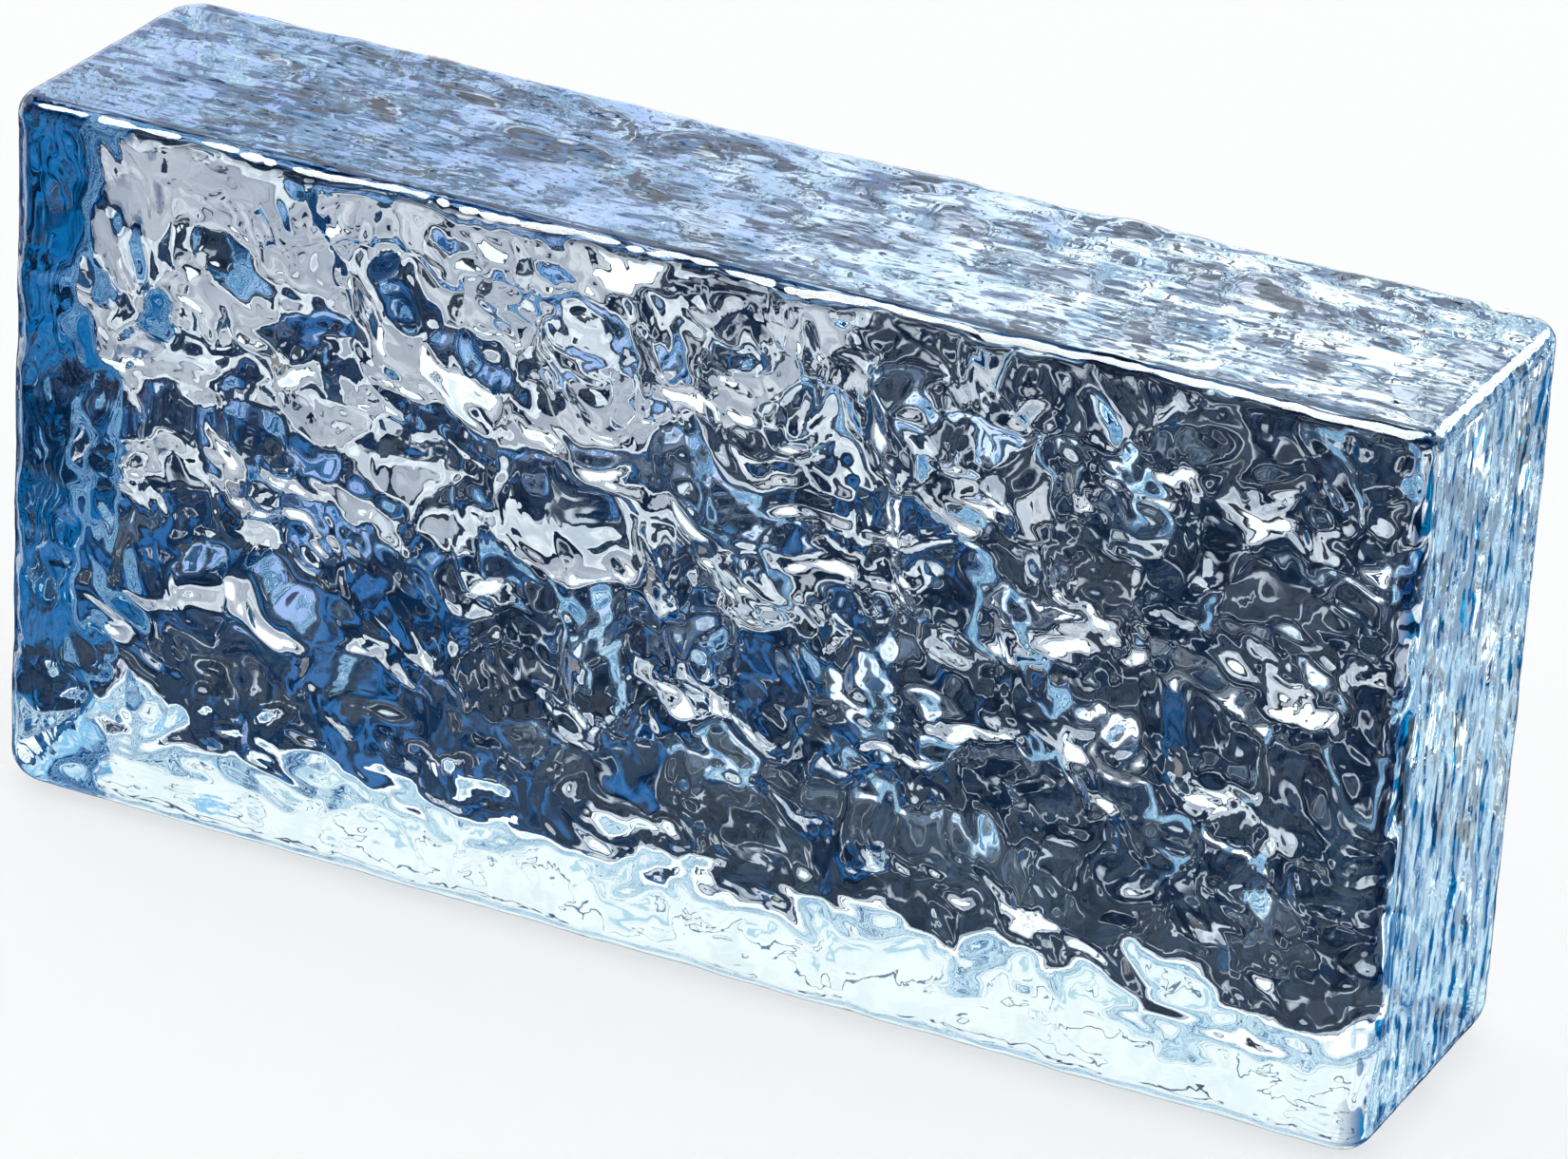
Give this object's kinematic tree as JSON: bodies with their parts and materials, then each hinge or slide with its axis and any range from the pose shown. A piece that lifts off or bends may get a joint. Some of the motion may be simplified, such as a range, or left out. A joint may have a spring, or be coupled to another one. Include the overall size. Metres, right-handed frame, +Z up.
{
  "type": "solid glass brick",
  "caption": "Solid cast glass building brick with water-rippled large faces, flat beds and ends, and rounded edges.",
  "frame": {"origin": "middle of the long narrow bed that the brick stands on", "axes": "+X along the brick's length, +Y through its thickness from one rippled face to the other, +Z up"},
  "size_m": [0.2, 0.051, 0.1],
  "materials": {
    "cast_glass": "clear blue-tinted cast glass, fire-polished and rippled"
  },
  "bodies": {
    "root": {"glass_block": "cast_glass"}
  },
  "joints": []
}
